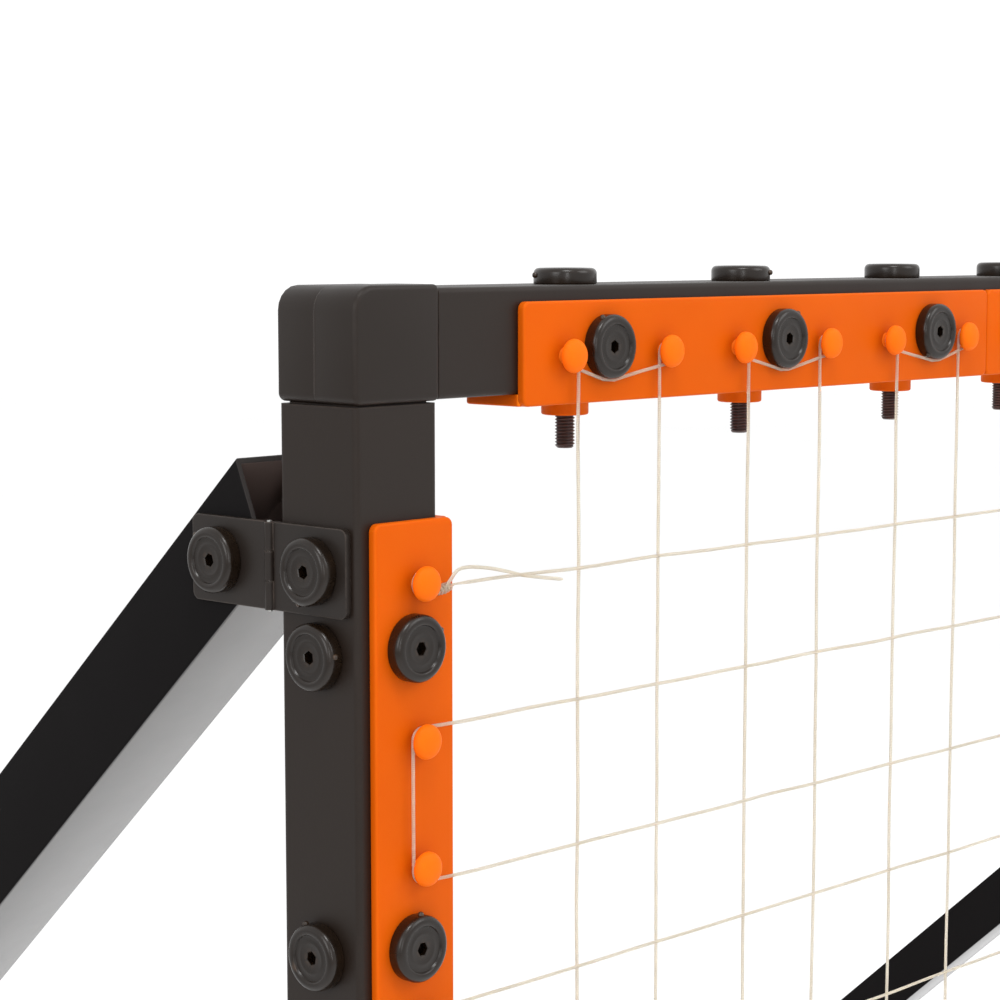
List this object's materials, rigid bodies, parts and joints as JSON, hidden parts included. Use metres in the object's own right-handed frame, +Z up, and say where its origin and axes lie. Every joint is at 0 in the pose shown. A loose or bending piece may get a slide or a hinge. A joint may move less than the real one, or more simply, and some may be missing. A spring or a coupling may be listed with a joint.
{
  "type": "sports practice goal",
  "caption": "Free-standing square-tube practice goal with clip-on peg rails, a twine net strung across the front and hinged side stays that fold outward",
  "frame": {"origin": "under the middle of the whole part, on the floor", "axes": "+X along the crossbar to the right seen from the front, +Y from the net to the rear, +Z up"},
  "size_m": [1.4214, 1.1674, 1.1122],
  "materials": {
    "black_tube": "satin powder coat",
    "black_moulding": "satin moulded plastic",
    "orange_moulding": "satin moulded plastic",
    "bolt_plastic": "satin moulded plastic",
    "insert_metal": "zinc plated",
    "foot_rubber": "matte",
    "black_bracket": "satin powder coat",
    "twine": "translucent monofilament-like twine"
  },
  "bodies": {
    "frame": {"crossbar": "black_tube", "right_post": "black_tube", "bottom_bar": "black_tube", "left_post": "black_tube", "top_left_corner": "black_moulding", "top_right_corner": "black_moulding", "bottom_right_corner": "black_moulding", "bottom_left_corner": "black_moulding", "crossbar_peg_rail_1": "orange_moulding", "crossbar_peg_rail_2": "orange_moulding", "crossbar_peg_rail_3": "orange_moulding", "crossbar_peg_rail_4": "orange_moulding", "right_post_peg_rail_1": "orange_moulding", "right_post_peg_rail_2": "orange_moulding", "right_post_peg_rail_3": "orange_moulding", "bottom_bar_peg_rail_1": "orange_moulding", "bottom_bar_peg_rail_2": "orange_moulding", "bottom_bar_peg_rail_3": "orange_moulding", "bottom_bar_peg_rail_4": "orange_moulding", "left_post_peg_rail_1": "orange_moulding", "left_post_peg_rail_2": "orange_moulding", "left_post_peg_rail_3": "orange_moulding", "crossbar_front_bolts": "bolt_plastic", "crossbar_through_bolts": "bolt_plastic", "right_post_front_bolts": "bolt_plastic", "right_post_through_bolts": "bolt_plastic", "bottom_bar_front_bolts": "bolt_plastic", "bottom_bar_through_bolts": "bolt_plastic", "left_post_front_bolts": "bolt_plastic", "left_post_through_bolts": "bolt_plastic", "threaded_inserts": "insert_metal", "front_feet": "foot_rubber", "upright_net_twine": "twine", "level_net_twine": "twine", "left_post_hinge_leaves": "black_bracket", "left_hinge_pins": "insert_metal", "left_hinge_post_bolts": "bolt_plastic", "right_post_hinge_leaves": "black_bracket", "right_hinge_pins": "insert_metal", "right_hinge_post_bolts": "bolt_plastic"},
    "left_stay": {"left_brace": "black_tube", "left_ground_rail": "black_tube", "left_ground_rail_plugs": "black_moulding", "left_gusset_plate": "black_bracket", "left_rear_foot": "foot_rubber", "left_stay_bolts": "bolt_plastic", "left_stay_inserts": "insert_metal", "left_stay_hinge_leaves": "black_bracket"},
    "right_stay": {"right_brace": "black_tube", "right_ground_rail": "black_tube", "right_ground_rail_plugs": "black_moulding", "right_gusset_plate": "black_bracket", "right_rear_foot": "foot_rubber", "right_stay_bolts": "bolt_plastic", "right_stay_inserts": "insert_metal", "right_stay_hinge_leaves": "black_bracket"}
  },
  "joints": [
    {"name": "left_stay_fold", "type": "hinge", "parent": "frame", "child": "left_stay", "pos_m": [-0.7045, -0.5293, 0.5], "axis": [0, 0, 1], "range_deg": [0, 90]},
    {"name": "right_stay_fold", "type": "hinge", "parent": "frame", "child": "right_stay", "pos_m": [0.7045, -0.5293, 0.5], "axis": [0, 0, -1], "range_deg": [0, 90]}
  ]
}
